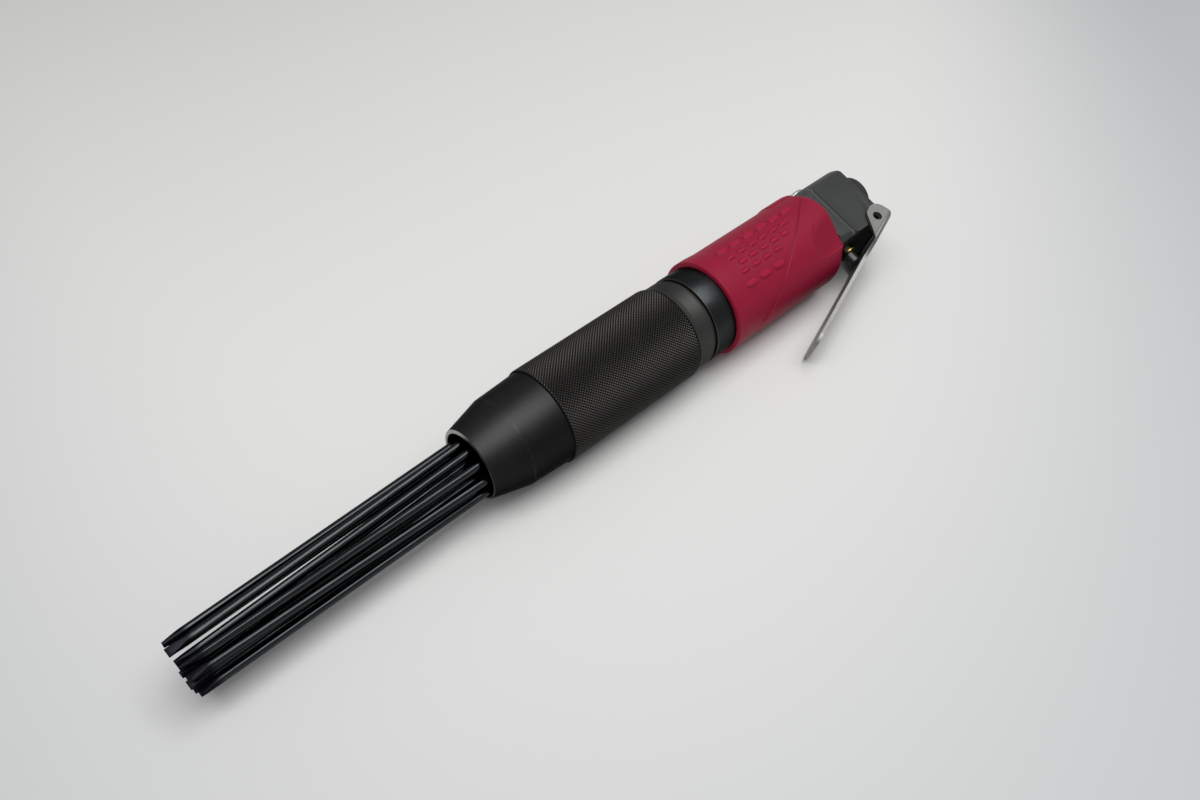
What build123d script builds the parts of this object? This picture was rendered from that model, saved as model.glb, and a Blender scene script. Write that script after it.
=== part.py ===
from math import cos, radians, sin
import os

from build123d import *

# Everything is drawn with X along the tool toward the needles, Y toward the lever and Z along the
# lever pin. At the end the tool is rolled over so that the lever tip comes down to the table.
ROLL = 18.0

# Stations along the axis, from a zero just in front of the grip.
NEEDLE_TIP = 215.5
MOUTH = 107.3
CONE_EDGE = 92.8
NOSE_REAR = 76.0
KNURL_REAR = 13.8
PLAIN_RING_FRONT = 11.2
SLEEVE_REAR = 5.4
COLLAR_FRONT = 3.7
GRIP_FRONT = -6.5
LIP_REAR = -9.5
CYLINDER_SHOULDER = -56.0
GRIP_REAR = -70.8
NECK_FRONT = -71.1
CYLINDER_REAR = -68.0
STEM_STATION = -79.5
PAD_FRONT = -79.0
LUG_FRONT = -87.5
PIVOT_STATION = -93.0
BLOCK_REAR = -98.5
INLET_REAR = -105.5

# Two radii drive the barrel: the bore of the front sleeve, and the cylinder's tube under the grip.
SLEEVE_BORE_R = 16.0
CYLINDER_TUBE_R = 16.5
KNURL_R = SLEEVE_BORE_R + 3.0
PLAIN_RING_R = SLEEVE_BORE_R + 2.0
LOCK_RING_R = SLEEVE_BORE_R + 1.0
NOSE_REAR_R = SLEEVE_BORE_R + 2.3
CONE_EDGE_R = SLEEVE_BORE_R + 1.4
COLLAR_R = CYLINDER_TUBE_R + 1.7
GRIP_R = CYLINDER_TUBE_R + 3.0
BLOCK_R = CYLINDER_TUBE_R + 1.6
NECK_R = CYLINDER_TUBE_R + 0.6
INLET_R = 8.8

# Clearances and small edges.
RUNNING = 0.05
SIDE_PLAY = 0.3
SLIDE_PLAY = 0.5
TOUCH_GAP = 0.1
EDGE = 0.4
WIDE_EDGE = 0.8
CUT_MARGIN = 5.0
CAP_ROUND = 1.2

# Front end.
NOSE_SPIGOT = 14.0
NOSE_BORE_R = SLEEVE_BORE_R - 1.5
MOUTH_BORE_R = 12.3
MOUTH_R = MOUTH_BORE_R + 1.3
SPRING_SEAT = 88.0
HOLDER_R = NOSE_BORE_R - SLIDE_PLAY
HOLDER_REAR = 56.0
HOLDER_LENGTH = 10.0
NEEDLE_R = 1.5
NEEDLE_HOLE_R = 1.9
NEEDLE_HEAD_R = 2.3
NEEDLE_HEAD_LENGTH = 3.0
INNER_NEEDLES = 3
OUTER_RING_R = 10.3
OUTER_ANGLES = (0.0, 40.0, 80.0, 120.0, 150.0, 198.0, 225.0, 280.0, 320.0)
INNER_RING_R = 4.0
INNER_RING_START = 20.0
NEEDLE_TURN = -15.8
CHISEL_LENGTH = 7.0
CHISEL_HALF = 0.45
CHISEL_MARGIN = 0.5
CHISEL_ZERO = (0, -0.96, -0.27)
RETURN_WIRE_R = 0.9
COIL_PLAY = 0.2
RETURN_COIL_R = HOLDER_R - RETURN_WIRE_R - COIL_PLAY
RETURN_TURNS = 4

# Hammer.
SPIGOT_FRONT = 42.0
BORE_FRONT = 20.0
BORE_R = 9.5
GUIDE_R = 7.0
CYLINDER_TAIL_R = 12.0
PISTON_LENGTH = 40.0
ANVIL_REAR = 14.0
ANVIL_HEAD_R = 13.5
FLAP_R = 6.0
FLAP_THICKNESS = 1.0
FLAP_CHAMBER = 2.0
GUIDE_PLATE_REAR = -62.2
PORT_R = 2.5
DOWEL_R = 0.9
DOWEL_RING_R = 7.8
DOWEL_LENGTH = 7.5
DOWEL_START = 2.5
SEAT_RECESS = 1.0
SEAT_RIM = 0.5
ANVIL_ROOT = 1.0

# Valve body.
NECK_FLAT = 13.2
BLOCK_FLAT = 12.0
SIDE_FLAT = 13.5
PAD_HALF = 13.6
PAD_CORNER = 3.5
PAD_EDGE = 0.8
SPIGOT_PLAY = 0.1
LUG_R = 3.4
LUG_HALF = 2.6
LUG_TOP = 1.7
LUG_REAR_DROP = 2.0
LUG_FRONT_DROP = 1.0
LUG_ROOT = 5.0
INLET_OFFSET = -4.2
INLET_THREAD_R = 6.9
INLET_BORE_R = 5.6
INLET_BORE_DEPTH = 12.0
INLET_PASSAGE_R = 4.2
INLET_THROAT_R = 3.2
SCREEN_THICKNESS = 0.8
SCREEN_HOLES = 6
SCREEN_HOLE_R = 0.7
SCREEN_RING_R = 2.2
BUSHING_FRONT = -88.0
VALVE_BORE_R = 5.0
STEM_R = 2.4
STEM_DOME_R = 3.0
BUSH_NOSE_R = 4.0
BUSH_NOSE = 2.6
BUSH_SHOULDER = 11.0
VALVE_SEAT = 5.6
OUTLET_RISE = 3.0
OUTLET_R = 1.6
OUTLET_HALL = 2.0
OUTLET_HALL_PLAY = 1.0
POPPET_LENGTH = 4.4
POPPET_R = 4.2
POPPET_FLOOR = 1.0
CAP_SINK = 0.7
CAP_REACH = 7.6
CAP_SEAT = CAP_SINK - NECK_R
CAP_INNER = CAP_SEAT + CAP_REACH
CAP_HEAD = 2.0
CAP_HEAD_R = 6.0
SEAL_SECTION = 0.9
SEAL_DEPTH = 1.0
VALVE_WIRE_R = 0.5
VALVE_COIL_R = 3.0
VALVE_TURNS = 5

# Lever.
PIVOT_SIDE = 13.0
LEVER_ANGLE = 18.8
SHEET = 1.4
BEND_R = 0.8
WEB_OFFSET = 3.66
EAR_REAR = -6.6
EAR_FRONT = 10.5
EAR_TOP = -4.6
EAR_ROUND = 4.4
EAR_HEEL = 2.4
EAR_BROW = 1.4
BLADE_FRONT = 68.5
BLADE_HALF = 8.0
TAPER_END = 20.0
TIP_CORNER = 5.0
PIN_R = 1.95
PIN_BORE_R = 1.3
PIN_RECESS = 0.9

# Grip relief. The bumps stand in rows, each at its own angle from the top.
LIP_R = GRIP_R + 0.4
LIP_END = -18.0
RAISED_R = GRIP_R + 0.4
REAR_ROUND = 3.0
REAR_LAND = 0.8
RIM_STEP = -66.0
RIM_BORE_R = CYLINDER_TUBE_R - 1.4
BUMP_ROOT = 1.0
LARGE_BUMP = (5.6, 2.8)
SMALL_BUMP = (4.2, 1.8)
BUMP_SIZES = (LARGE_BUMP, SMALL_BUMP, SMALL_BUMP, SMALL_BUMP, LARGE_BUMP)
BUMP_ANGLES = (-28.0, -14.0, -2.5, 8.5, 23.7)
BUMP_COUNTS = (6, 6, 5, 4, 3)
BUMP_STARTS = (-19.5, -19.0, -21.4, -19.4, -19.5)
BUMP_PITCHES = (7.4, 6.1, 6.1, 6.2, 7.6)
RIDGE_STATIONS = (-24.8, -29.4, -35.3, -41.2, -46.4, -53.8, -60.4)
RIDGE_ANGLES = (69.8, 56.7, 38.7, 24.5, 13.6, -2.1, -16.1)
RIDGE_END_ANGLE = -36.1
THUMB_ANGLE = 29.0
THUMB_FRONT = -54.4
THUMB_SIDE = 6.8
THUMB_REAR_R = CYLINDER_TUBE_R + 1.3


def rod(start, end, radius, y=0, z=0):
    body = Cylinder(radius, end - start, align=(Align.CENTER, Align.CENTER, Align.MIN))
    return Pos(start, y, z) * Rot(0, 90, 0) * body


def cross_rod(station, start, end, radius):
    body = Cylinder(radius, end - start, align=(Align.CENTER, Align.CENTER, Align.MIN))
    return Pos(station, start, 0) * Rot(-90, 0, 0) * body


def turned(points):
    return revolve(make_face(Polyline(points, close=True)), axis=Axis.X)


def block(x_range, y_range, z_range):
    size = [high - low for low, high in (x_range, y_range, z_range)]
    middle = [(high + low) / 2 for low, high in (x_range, y_range, z_range)]
    return Pos(*middle) * Box(*size)


def coil(radius, wire_r, length, turns):
    path = Helix(pitch=length / turns, height=length, radius=radius)
    start = Plane(origin=path @ 0, z_dir=path % 0)
    return sweep(start * Circle(wire_r), path=path, is_frenet=True)


def ring_place(radius, angle):
    turn = radians(angle)
    return radius * cos(turn), radius * sin(turn)


parts = {}

# Nose: a tapered tube whose spigot screws into the front sleeve.
parts["nose"] = turned([
    (MOUTH, MOUTH_BORE_R), (MOUTH, MOUTH_R), (CONE_EDGE, CONE_EDGE_R), (NOSE_REAR, NOSE_REAR_R),
    (NOSE_REAR, SLEEVE_BORE_R), (NOSE_REAR - NOSE_SPIGOT, SLEEVE_BORE_R),
    (NOSE_REAR - NOSE_SPIGOT, NOSE_BORE_R), (SPRING_SEAT, NOSE_BORE_R), (SPRING_SEAT, MOUTH_BORE_R),
])

# Front sleeve: the knurled tube, with a plain ring behind the knurl.
parts["front_sleeve"] = turned([
    (NOSE_REAR, SLEEVE_BORE_R), (NOSE_REAR, KNURL_R - EDGE), (NOSE_REAR - EDGE, KNURL_R),
    (KNURL_REAR, KNURL_R), (PLAIN_RING_FRONT, PLAIN_RING_R), (SLEEVE_REAR + EDGE, PLAIN_RING_R),
    (SLEEVE_REAR, PLAIN_RING_R - EDGE), (SLEEVE_REAR, SLEEVE_BORE_R),
])

parts["lock_ring"] = turned([
    (SLEEVE_REAR, SLEEVE_BORE_R), (SLEEVE_REAR, LOCK_RING_R), (COLLAR_FRONT, LOCK_RING_R),
    (COLLAR_FRONT, SLEEVE_BORE_R),
])

# Cylinder: tail in the valve body, tube under the grip, bare collar, spigot in the front sleeve.
parts["cylinder"] = turned([
    (CYLINDER_REAR, BORE_R), (CYLINDER_REAR, CYLINDER_TAIL_R), (CYLINDER_SHOULDER, CYLINDER_TAIL_R),
    (CYLINDER_SHOULDER, CYLINDER_TUBE_R), (GRIP_FRONT, CYLINDER_TUBE_R), (GRIP_FRONT, COLLAR_R),
    (COLLAR_FRONT - EDGE, COLLAR_R), (COLLAR_FRONT, COLLAR_R - EDGE), (COLLAR_FRONT, SLEEVE_BORE_R),
    (SPIGOT_FRONT, SLEEVE_BORE_R), (SPIGOT_FRONT, GUIDE_R), (BORE_FRONT, GUIDE_R), (BORE_FRONT, BORE_R),
])

# Distributor: a seat, a loose flap in its chamber and a guide plate, lined up by a dowel.
insert_r = BORE_R - RUNNING
chamber_rear = GUIDE_PLATE_REAR - FLAP_CHAMBER
dowel_rear = CYLINDER_REAR + DOWEL_START
dowel = rod(dowel_rear, dowel_rear + DOWEL_LENGTH, DOWEL_R, y=DOWEL_RING_R)
seat = rod(CYLINDER_REAR, GUIDE_PLATE_REAR, insert_r)
seat -= rod(CYLINDER_REAR, CYLINDER_REAR + SEAT_RECESS, insert_r - SEAT_RIM)
seat -= rod(CYLINDER_REAR, GUIDE_PLATE_REAR, PORT_R)
seat -= rod(chamber_rear, GUIDE_PLATE_REAR, FLAP_R + SIDE_PLAY)
parts["distributor_seat"] = seat - dowel
guide = rod(GUIDE_PLATE_REAR, CYLINDER_SHOULDER, insert_r) - rod(GUIDE_PLATE_REAR, CYLINDER_SHOULDER, PORT_R)
parts["distributor_guide"] = guide - dowel
parts["distributor_dowel"] = dowel
parts["distributor_flap"] = rod(chamber_rear + RUNNING, chamber_rear + RUNNING + FLAP_THICKNESS, FLAP_R)

# Hammer: the piston rests at the rear, the anvil waits at the front of the bore.
piston_rear = CYLINDER_SHOULDER + SLIDE_PLAY
piston = rod(piston_rear, piston_rear + PISTON_LENGTH, BORE_R - RUNNING)
parts["piston"] = chamfer(piston.edges().filter_by(GeomType.CIRCLE), EDGE)
anvil_face = HOLDER_REAR - NEEDLE_HEAD_LENGTH - TOUCH_GAP
anvil = rod(ANVIL_REAR, SPIGOT_FRONT + ANVIL_ROOT, GUIDE_R - RUNNING)
anvil += rod(SPIGOT_FRONT + TOUCH_GAP, anvil_face, ANVIL_HEAD_R)
parts["anvil"] = chamfer(anvil.edges().filter_by(GeomType.CIRCLE).sort_by(Axis.X)[0], EDGE)

# Needle holder and needles. Each needle hangs in its hole, so the bundle leans and splays; its tip
# lies the stated distance across and toward the eye from the axis.
holder = rod(HOLDER_REAR, HOLDER_REAR + HOLDER_LENGTH, HOLDER_R)
inner_step = 360.0 / INNER_NEEDLES
holes = [ring_place(OUTER_RING_R, angle) for angle in OUTER_ANGLES]
holes += [ring_place(INNER_RING_R, INNER_RING_START + inner_step * k) for k in range(INNER_NEEDLES)]
tips = [
    (11.2, 0.6), (6.0, 3.2), (2.3, 4.0), (0.5, 0.8), (-3.6, 1.2), (-6.35, -2.2),
    (-3.65, -5.6), (5.6, -4.0), (9.4, -3.2), (7.7, -0.2), (3.9, 0.2), (1.6, -3.2),
]
lengths = [-0.6, -0.4, 0.1, 0.2, 0.6, 0.1, 0.0, -0.2, 0.0, 0.6, 0.7, 0.0]
chisel_turns = [80, 75, 15, 5, 70, 5, 20, 80, 35, 60, 10, 0]


def lean(pair):
    turn = radians(NEEDLE_TURN)
    across, toward = pair
    return across * cos(turn) - toward * sin(turn), across * sin(turn) + toward * cos(turn)


def needle(hole, tip, extra, chisel_turn):
    middle = Vector(HOLDER_REAR + HOLDER_LENGTH / 2, *lean(hole))
    end = Vector(NEEDLE_TIP + extra, *lean(tip))
    back = (HOLDER_LENGTH + NEEDLE_HEAD_LENGTH) / 2 / (end.X - middle.X)
    start = middle - (end - middle) * back
    length = (end - start).length
    shaft = Cylinder(NEEDLE_R, length, align=(Align.CENTER, Align.CENTER, Align.MIN))
    reach = NEEDLE_R + CHISEL_MARGIN
    outline = [
        (-reach, 0), (-reach, length - CHISEL_LENGTH), (-NEEDLE_R, length - CHISEL_LENGTH),
        (-CHISEL_HALF, length), (CHISEL_HALF, length), (NEEDLE_R, length - CHISEL_LENGTH),
        (reach, length - CHISEL_LENGTH), (reach, 0),
    ]
    wedge = extrude(Plane.XZ * make_face(Polyline(outline, close=True)), reach, both=True)
    place = Plane(origin=start, x_dir=CHISEL_ZERO, z_dir=end - start)
    shaft = place * Rot(0, 0, chisel_turn) * (shaft & wedge)
    return shaft + rod(HOLDER_REAR - NEEDLE_HEAD_LENGTH, HOLDER_REAR, NEEDLE_HEAD_R, start.Y, start.Z)


for number, hole in enumerate(holes):
    y, z = lean(hole)
    holder -= rod(HOLDER_REAR, HOLDER_REAR + HOLDER_LENGTH, NEEDLE_HOLE_R, y, z)
    parts[f"needle_{number + 1:02d}"] = needle(hole, tips[number], lengths[number], chisel_turns[number])
parts["needle_holder"] = holder

# Return spring, between the holder and the step in the nose.
spring_start = HOLDER_REAR + HOLDER_LENGTH + RETURN_WIRE_R
spring_length = SPRING_SEAT - RETURN_WIRE_R - spring_start
return_coil = coil(RETURN_COIL_R, RETURN_WIRE_R, spring_length, RETURN_TURNS)
parts["return_spring"] = Pos(spring_start, 0, 0) * Rot(0, 90, 0) * return_coil

# Valve body: a round bar with flats, a lug for the lever pin and a cross bore for the valve.
pivot = (PIVOT_STATION, PIVOT_SIDE)
body = rod(BLOCK_REAR, PAD_FRONT, BLOCK_R)
body = chamfer(body.edges().filter_by(GeomType.CIRCLE).sort_by(Axis.X)[0], WIDE_EDGE)
body += turned([(PAD_FRONT, 0), (PAD_FRONT, BLOCK_R), (NECK_FRONT, NECK_R), (NECK_FRONT, 0)])
far = BLOCK_R + CUT_MARGIN
body -= block((BLOCK_REAR - 1, NECK_FRONT + 1), (SIDE_FLAT, far), (-far, far))
for side in (1, -1):
    neck_cut = sorted((side * NECK_FLAT, side * far))
    body -= block((BLOCK_REAR - 1, NECK_FRONT + 1), (-far, far), neck_cut)
pad = [(BLOCK_REAR - far, -PAD_HALF), (PAD_FRONT, -PAD_HALF), (PAD_FRONT, PAD_HALF), (BLOCK_REAR - far, PAD_HALF)]
pad_face = make_face(Polyline(pad, close=True))
pad_face = fillet(pad_face.vertices().group_by(Axis.X)[-1], PAD_CORNER)
pad_cut = Pos(0, 0, BLOCK_FLAT) * extrude(pad_face, CUT_MARGIN)
pad_cut += Pos(0, 0, NECK_FLAT - PAD_EDGE) * extrude(pad_face, 2 * PAD_EDGE, taper=-45)
body -= pad_cut
body -= mirror(pad_cut, about=Plane.XY)
lug_outline = [
    (BLOCK_REAR, LUG_ROOT), (BLOCK_REAR, SIDE_FLAT - LUG_REAR_DROP),
    (PIVOT_STATION - LUG_HALF, SIDE_FLAT + LUG_TOP), (PIVOT_STATION + LUG_HALF, SIDE_FLAT + LUG_TOP),
    (LUG_FRONT, SIDE_FLAT - LUG_FRONT_DROP), (LUG_FRONT, LUG_ROOT),
]
lug = make_face(Polyline(lug_outline, close=True)) + Pos(*pivot) * Circle(LUG_R)
body += Pos(0, 0, -BLOCK_FLAT) * extrude(lug, BLOCK_FLAT * 2)
body += rod(NECK_FRONT, CYLINDER_SHOULDER, RIM_BORE_R - SPIGOT_PLAY)
body += rod(RIM_STEP + SPIGOT_PLAY, CYLINDER_SHOULDER, CYLINDER_TUBE_R - SPIGOT_PLAY)
body -= rod(CYLINDER_REAR, CYLINDER_SHOULDER, CYLINDER_TAIL_R)
body -= Pos(*pivot, -far) * extrude(Circle(PIN_R), far * 2)
screen_front = BUSHING_FRONT + SCREEN_THICKNESS
body -= rod(BLOCK_REAR, screen_front, INLET_THREAD_R, y=INLET_OFFSET)
body -= rod(screen_front, STEM_STATION, INLET_THROAT_R, y=INLET_OFFSET)
body -= cross_rod(STEM_STATION, -far, BUSH_SHOULDER, VALVE_BORE_R)
body -= cross_rod(STEM_STATION, BUSH_SHOULDER, far, BUSH_NOSE_R)
body -= cross_rod(STEM_STATION, -far, CAP_SEAT, CAP_HEAD_R + SIDE_PLAY)
body -= cross_rod(STEM_STATION, CAP_SEAT, CAP_SEAT + SEAL_SECTION, VALVE_BORE_R + SEAL_SECTION)
outlet_side = VALVE_SEAT + OUTLET_RISE
body -= rod(STEM_STATION, CYLINDER_REAR, OUTLET_R, y=outlet_side)
parts["valve_body"] = body

# Inlet bushing with a female pipe thread, drawn plain, and the screen that it clamps.
bushing = rod(INLET_REAR, BLOCK_REAR, INLET_R, y=INLET_OFFSET)
bushing = chamfer(bushing.edges().filter_by(GeomType.CIRCLE).sort_by(Axis.X)[0], WIDE_EDGE)
bushing += rod(BLOCK_REAR, BUSHING_FRONT, INLET_THREAD_R, y=INLET_OFFSET)
bushing -= rod(INLET_REAR, INLET_REAR + INLET_BORE_DEPTH, INLET_BORE_R, y=INLET_OFFSET)
bushing -= rod(INLET_REAR, BUSHING_FRONT, INLET_PASSAGE_R, y=INLET_OFFSET)
parts["inlet_bushing"] = bushing
screen = rod(BUSHING_FRONT, screen_front, INLET_THREAD_R, y=INLET_OFFSET)
for k in range(SCREEN_HOLES):
    y, z = ring_place(SCREEN_RING_R, 360 / SCREEN_HOLES * k)
    screen -= rod(BUSHING_FRONT, screen_front, SCREEN_HOLE_R, INLET_OFFSET + y, z)
parts["inlet_screen"] = screen

# Throttle valve: brass bush, seal, stem, poppet, spring and cap on one cross axis.
bush = cross_rod(STEM_STATION, VALVE_SEAT, BUSH_SHOULDER, VALVE_BORE_R)
bush_nose = cross_rod(STEM_STATION, BUSH_SHOULDER, SIDE_FLAT + BUSH_NOSE, BUSH_NOSE_R)
bush += chamfer(bush_nose.edges().filter_by(GeomType.CIRCLE).sort_by(Axis.Y)[-1], EDGE)
bush -= cross_rod(STEM_STATION, VALVE_SEAT, far, STEM_R + RUNNING)
bush -= cross_rod(STEM_STATION, VALVE_SEAT, outlet_side + OUTLET_HALL, STEM_R + OUTLET_HALL_PLAY)
bush -= rod(STEM_STATION, NECK_FRONT, OUTLET_R, y=outlet_side)
seal_place = SIDE_FLAT - SEAL_DEPTH
seal_hole = cross_rod(STEM_STATION, seal_place, seal_place + SEAL_SECTION, STEM_R + SEAL_SECTION)
parts["valve_bush"] = bush - seal_hole
parts["stem_seal"] = seal_hole - cross_rod(STEM_STATION, seal_place, far, STEM_R + RUNNING)

dome_reach = STEM_STATION - PIVOT_STATION
dome_drop = WEB_OFFSET - STEM_DOME_R - TOUCH_GAP
lever_turn = radians(LEVER_ANGLE)
dome_centre = PIVOT_SIDE + (dome_drop + dome_reach * sin(lever_turn)) / cos(lever_turn)
poppet_inner = VALVE_SEAT - POPPET_LENGTH
stem = cross_rod(STEM_STATION, poppet_inner + POPPET_FLOOR, dome_centre + STEM_DOME_R, STEM_R)
stem_limit = cross_rod(STEM_STATION, -far, dome_centre, far)
stem &= stem_limit + Pos(STEM_STATION, dome_centre, 0) * Sphere(STEM_DOME_R)
parts["valve_stem"] = stem
poppet = cross_rod(STEM_STATION, poppet_inner, VALVE_SEAT, POPPET_R)
parts["throttle_poppet"] = poppet - cross_rod(STEM_STATION, poppet_inner + POPPET_FLOOR, far, STEM_R)

cap = cross_rod(STEM_STATION, CAP_SEAT, CAP_INNER, VALVE_BORE_R)
cap_head = cross_rod(STEM_STATION, CAP_SEAT - CAP_HEAD, CAP_SEAT, CAP_HEAD_R)
cap += fillet(cap_head.edges().filter_by(GeomType.CIRCLE).sort_by(Axis.Y)[0], CAP_ROUND)
parts["valve_cap"] = cap
cap_ring = cross_rod(STEM_STATION, CAP_SEAT, CAP_SEAT + SEAL_SECTION, VALVE_BORE_R + SEAL_SECTION)
parts["cap_seal"] = cap_ring - cross_rod(STEM_STATION, -far, far, VALVE_BORE_R)
valve_coil_length = poppet_inner - CAP_INNER - 2 * VALVE_WIRE_R
valve_coil = coil(VALVE_COIL_R, VALVE_WIRE_R, valve_coil_length, VALVE_TURNS)
parts["valve_spring"] = Pos(STEM_STATION, CAP_INNER + VALVE_WIRE_R, 0) * Rot(-90, 0, 0) * valve_coil

# Lever: one bent sheet, drawn with its pivot at the origin and its web along X. A channel makes the
# two ears and the web between them, and a flat blade goes on from it.
ear_inner = BLOCK_FLAT + SIDE_PLAY
ear_half = ear_inner + SHEET
web_outer = WEB_OFFSET + SHEET


def channel_face(height, half, corner):
    outline = [(EAR_TOP - CUT_MARGIN, -half), (height, -half), (height, half), (EAR_TOP - CUT_MARGIN, half)]
    face = make_face(Polyline(outline, close=True))
    return fillet(face.vertices().group_by(Axis.X)[-1], corner)


channel_section = channel_face(web_outer, ear_half, BEND_R + SHEET) - channel_face(WEB_OFFSET, ear_inner, BEND_R)
channel = Pos(EAR_REAR, 0, 0) * extrude(Plane.YZ * channel_section, EAR_FRONT - EAR_REAR)
ear_outline = [
    (EAR_REAR, web_outer), (EAR_REAR, EAR_TOP), (EAR_BROW, EAR_TOP), (EAR_FRONT, WEB_OFFSET),
    (EAR_FRONT, web_outer),
]
ear_face = make_face(Polyline(ear_outline, close=True))
ear_face = fillet(ear_face.vertices().group_by(Axis.Y)[0], EAR_ROUND)
ear_face = fillet(ear_face.vertices().group_by(Axis.Y)[-1].sort_by(Axis.X)[0], EAR_HEEL)
ear_face -= Circle(PIN_R + RUNNING)
lever = channel & extrude(ear_face, far, both=True)
blade_root = ear_inner - BEND_R
blade_rear = EAR_FRONT - CUT_MARGIN
blade_outline = [
    (blade_rear, -blade_root), (EAR_FRONT, -blade_root), (TAPER_END, -BLADE_HALF), (BLADE_FRONT, -BLADE_HALF),
    (BLADE_FRONT, BLADE_HALF), (TAPER_END, BLADE_HALF), (EAR_FRONT, blade_root), (blade_rear, blade_root),
]
blade_face = make_face(Polyline(blade_outline, close=True))
blade_face = fillet(blade_face.vertices().group_by(Axis.X)[-1], TIP_CORNER)
lever += Pos(0, web_outer, 0) * Rot(90, 0, 0) * extrude(blade_face, SHEET)
parts["throttle_lever"] = Pos(*pivot) * Rot(0, 0, LEVER_ANGLE) * lever

pin_half = ear_half - PIN_RECESS
pin = Pos(*pivot, -pin_half) * extrude(Circle(PIN_R) - Circle(PIN_BORE_R), 2 * pin_half)
parts["lever_pin"] = pin

# Grip: a moulded sleeve with a flared front lip, rows of bumps, a raised plain part and a thumb rest.
grip = turned([
    (GRIP_FRONT, CYLINDER_TUBE_R), (GRIP_FRONT, LIP_R), (LIP_REAR, LIP_R), (LIP_END, GRIP_R),
    (GRIP_REAR, GRIP_R), (GRIP_REAR, RIM_BORE_R), (RIM_STEP, RIM_BORE_R), (RIM_STEP, CYLINDER_TUBE_R),
])
ridge = [(x, GRIP_R * sin(radians(angle))) for x, angle in zip(RIDGE_STATIONS, RIDGE_ANGLES)]
ridge_end = (GRIP_REAR, GRIP_R * sin(radians(RIDGE_END_ANGLE)))
raised_outline = [(LIP_END, far), *ridge, ridge_end, (GRIP_REAR, far)]
raised = make_face(Polyline(raised_outline, close=True))
raised_ring = rod(GRIP_REAR, LIP_END, RAISED_R) - rod(GRIP_REAR, LIP_END, GRIP_R - EDGE)
grip += raised_ring & extrude(raised, far, both=True)
bump_rows = zip(BUMP_SIZES, BUMP_ANGLES, BUMP_COUNTS, BUMP_STARTS, BUMP_PITCHES)
for size, row_angle, count, first, pitch in bump_rows:
    pill = extrude(SlotOverall(*size), LIP_R - CYLINDER_TUBE_R - BUMP_ROOT)
    for angle in (row_angle, 180 - row_angle):
        for k in range(count):
            grip += Rot(-angle, 0, 0) * Pos(first - pitch * k, 0, CYLINDER_TUBE_R + BUMP_ROOT) * pill
thumb_fall = (RAISED_R - THUMB_REAR_R) / (THUMB_FRONT - GRIP_REAR)
thumb_outline = [
    (THUMB_FRONT + far, RAISED_R + far * thumb_fall), (THUMB_FRONT + far, far * 2),
    (GRIP_REAR - far, far * 2), (GRIP_REAR - far, THUMB_REAR_R - far * thumb_fall),
]
thumb = Plane.XZ * make_face(Polyline(thumb_outline, close=True))
thumb = extrude(thumb, far, both=True) & block((-far * 6, far * 6), (-far, THUMB_SIDE), (0, far * 3))
thumb = Rot(-THUMB_ANGLE, 0, 0) * thumb
grip -= thumb
grip -= mirror(thumb, about=Plane.XY)
corner = [
    (GRIP_REAR - 1, RIM_BORE_R + REAR_LAND), (GRIP_REAR, RIM_BORE_R + REAR_LAND),
    (GRIP_REAR + REAR_ROUND, far), (GRIP_REAR - 1, far),
]
grip -= turned(corner)
parts["grip_sleeve"] = grip

# The tool lies on its grip with the lever tip just off the table and the middle of its box over the origin.
rolled = {name: Rot(-ROLL, 0, 0) * shape for name, shape in parts.items()}
box = Compound(children=[Compound(shape.wrapped) for shape in rolled.values()]).bounding_box()
place = Pos(-box.center().X, -box.center().Y, -box.min.Z)
os.makedirs("parts", exist_ok=True)
for name, shape in rolled.items():
    export_step(place * shape, f"parts/{name}.step")
print("box", box.size, "axis point", -box.center().X, -box.center().Y, -box.min.Z)
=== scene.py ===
from math import atan2, degrees, exp, hypot, pi, radians

import bmesh
import bpy
from mathutils import Matrix, Vector


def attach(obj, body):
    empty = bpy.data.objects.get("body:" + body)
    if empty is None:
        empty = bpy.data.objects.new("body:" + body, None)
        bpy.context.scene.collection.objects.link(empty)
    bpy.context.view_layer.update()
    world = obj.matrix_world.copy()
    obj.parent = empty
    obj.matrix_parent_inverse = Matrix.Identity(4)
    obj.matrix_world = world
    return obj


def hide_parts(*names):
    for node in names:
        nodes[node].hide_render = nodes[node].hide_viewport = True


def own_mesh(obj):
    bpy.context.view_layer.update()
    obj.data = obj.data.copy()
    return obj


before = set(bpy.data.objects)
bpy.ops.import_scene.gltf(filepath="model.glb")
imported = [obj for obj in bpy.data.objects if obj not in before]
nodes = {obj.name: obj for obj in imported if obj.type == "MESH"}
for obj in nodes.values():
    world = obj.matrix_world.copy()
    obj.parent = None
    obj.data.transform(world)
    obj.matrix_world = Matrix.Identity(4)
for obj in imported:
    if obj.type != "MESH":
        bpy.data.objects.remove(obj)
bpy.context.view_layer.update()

# Pieces are drawn in mm with X along the barrel, Y to the lever and Z along the lever pin.
# The tool lies rolled over on the table, so this turns and moves them there.
mmPerMetre = 1000
lie = {"roll": -18.0, "axisPoint": (-0.0553847, -0.0097924, 0.0199407)}
place = (Matrix.Translation(lie["axisPoint"])
         @ Matrix.Rotation(radians(lie["roll"]), 4, "X")
         @ Matrix.Scale(1 / mmPerMetre, 4))


# mesh helpers, in mm

meshSet = {
    "weld": 1e-4, "slack": 0.01, "cutNear": 1e-5, "roundSegments": 3, "edgeSegments": 2, "flatWithin": 0.9999,
}


def weldAndOrient(bm):
    bmesh.ops.remove_doubles(bm, verts=bm.verts, dist=meshSet["weld"])
    bmesh.ops.recalc_face_normals(bm, faces=bm.faces)


def joinInto(bm, other):
    scrap = bpy.data.meshes.new("scrap")
    other.to_mesh(scrap)
    other.free()
    bm.from_mesh(scrap)
    bpy.data.meshes.remove(scrap)


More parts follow.
